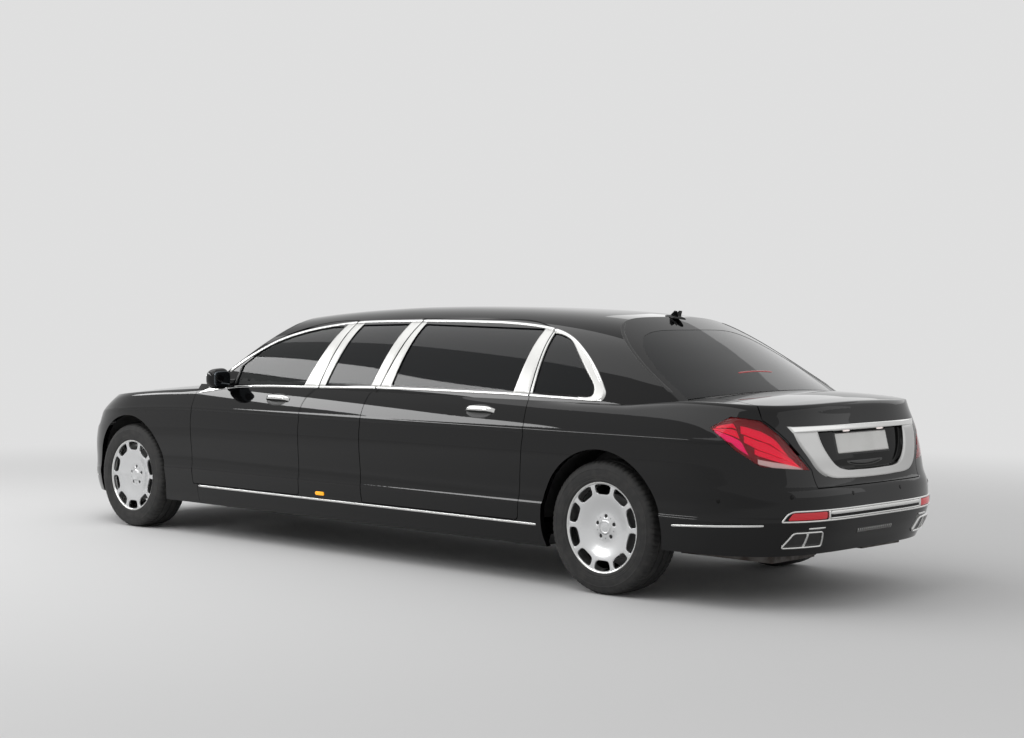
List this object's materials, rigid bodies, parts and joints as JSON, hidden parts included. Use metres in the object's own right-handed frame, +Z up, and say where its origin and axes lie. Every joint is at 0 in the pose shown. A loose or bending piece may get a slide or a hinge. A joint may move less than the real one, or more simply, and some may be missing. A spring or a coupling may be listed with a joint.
{
  "type": "stretch limousine",
  "caption": "Long black saloon limousine with a fixed centre section, four hinged doors, opening lids, steering and rolling wheels, and a furnished cabin.",
  "frame": {"origin": "on the floor under the middle of the bounding box", "axes": "+X forward along the car, +Y to its left, +Z up"},
  "size_m": [6.4972, 2.128, 1.5977],
  "materials": {
    "black_paint": "deep gloss",
    "bright_metal": "polished",
    "wheel_silver": "polished, clear-coated",
    "tyre": "matt",
    "tinted_glass": "dark tint",
    "clear_glass": "light tint",
    "lamp_red": "clear over red",
    "lamp_clear": "clear over bright reflector",
    "black_plastic": "fine grain",
    "structure": "satin",
    "cast_metal": "raw",
    "steel": "heat-dulled",
    "leather": "soft grain",
    "dash": "stitched"
  },
  "bodies": {
    "root": {"floor_pan": "structure", "body_side_left": "black_paint", "body_side_right": "black_paint", "roof": "black_paint", "front_fender_left": "black_paint", "front_fender_right": "black_paint", "scuttle": "black_plastic", "front_bumper": "black_paint", "rear_bumper": "black_paint", "grille": "bright_metal", "headlamps": "lamp_clear", "tail_lamps": "lamp_red", "windscreen": "clear_glass", "rear_window": "tinted_glass", "fixed_side_glass": "tinted_glass", "dashboard": "dash", "front_seats": "leather", "rear_cabin_seats": "leather", "partition": "dash", "engine_block": "cast_metal", "front_suspension": "cast_metal", "rear_suspension": "cast_metal", "exhaust": "steel", "aerial": "black_paint", "arch_liners": "black_plastic"},
    "bonnet": {"bonnet": "black_paint"},
    "boot_lid": {"boot_lid": "black_paint"},
    "door_front_left": {"door_front_left": "black_paint", "door_glass_front_left": "clear_glass", "mirror_left": "black_paint"},
    "door_rear_left": {"door_rear_left": "black_paint", "door_glass_rear_left": "tinted_glass"},
    "knuckle_left": {"knuckle_left": "cast_metal"},
    "wheel_front_left": {"tyre_front_left": "tyre", "wheel_front_left": "wheel_silver"},
    "wheel_rear_left": {"tyre_rear_left": "tyre", "wheel_rear_left": "wheel_silver"},
    "door_front_right": {"door_front_right": "black_paint", "door_glass_front_right": "clear_glass", "mirror_right": "black_paint"},
    "door_rear_right": {"door_rear_right": "black_paint", "door_glass_rear_right": "tinted_glass"},
    "knuckle_right": {"knuckle_right": "cast_metal"},
    "wheel_front_right": {"tyre_front_right": "tyre", "wheel_front_right": "wheel_silver"},
    "wheel_rear_right": {"tyre_rear_right": "tyre", "wheel_rear_right": "wheel_silver"},
    "steering_wheel": {"steering_wheel": "dash"}
  },
  "joints": [
    {"name": "door_front_left_hinge", "type": "hinge", "parent": "root", "child": "door_front_left", "pos_m": [1.53, 0.885, 0.7], "axis": [0, 0, -1], "range_deg": [0, 68]},
    {"name": "door_rear_left_hinge", "type": "hinge", "parent": "root", "child": "door_rear_left", "pos_m": [-0.2, 0.885, 0.7], "axis": [0, 0, -1], "range_deg": [0, 68]},
    {"name": "steer_left", "type": "hinge", "parent": "root", "child": "knuckle_left", "pos_m": [2.3645, 0.76, 0.371], "axis": [0, 0, 1], "range_deg": [-33, 33]},
    {"name": "spin_front_left", "type": "hinge", "parent": "knuckle_left", "child": "wheel_front_left", "pos_m": [2.3645, 0.8, 0.371], "axis": [0, 1, 0], "continuous": true},
    {"name": "spin_rear_left", "type": "hinge", "parent": "root", "child": "wheel_rear_left", "pos_m": [-2.0535, 0.8, 0.371], "axis": [0, 1, 0], "continuous": true},
    {"name": "door_front_right_hinge", "type": "hinge", "parent": "root", "child": "door_front_right", "pos_m": [1.53, -0.885, 0.7], "axis": [0, 0, 1], "range_deg": [0, 68]},
    {"name": "door_rear_right_hinge", "type": "hinge", "parent": "root", "child": "door_rear_right", "pos_m": [-0.2, -0.885, 0.7], "axis": [0, 0, 1], "range_deg": [0, 68]},
    {"name": "steer_right", "type": "hinge", "parent": "root", "child": "knuckle_right", "pos_m": [2.3645, -0.76, 0.371], "axis": [0, 0, 1], "range_deg": [-33, 33]},
    {"name": "spin_front_right", "type": "hinge", "parent": "knuckle_right", "child": "wheel_front_right", "pos_m": [2.3645, -0.8, 0.371], "axis": [0, 1, 0], "continuous": true},
    {"name": "spin_rear_right", "type": "hinge", "parent": "root", "child": "wheel_rear_right", "pos_m": [-2.0535, -0.8, 0.371], "axis": [0, 1, 0], "continuous": true},
    {"name": "bonnet_hinge", "type": "hinge", "parent": "root", "child": "bonnet", "pos_m": [1.66, 0, 1.021], "axis": [0, -1, 0], "range_deg": [0, 48]},
    {"name": "boot_lid_hinge", "type": "hinge", "parent": "root", "child": "boot_lid", "pos_m": [-2.66, 0, 1.087], "axis": [0, 1, 0], "range_deg": [0, 80]},
    {"name": "steering_wheel_turn", "type": "hinge", "parent": "root", "child": "steering_wheel", "pos_m": [1.08, 0.37, 0.9], "axis": [-0.9135, 0, 0.4067], "range_deg": [-466, 466]}
  ],
  "couplings": [
    {"joint": "steer_right", "follows": "steer_left", "ratio": 1},
    {"joint": "steering_wheel_turn", "follows": "steer_left", "ratio": 14}
  ]
}
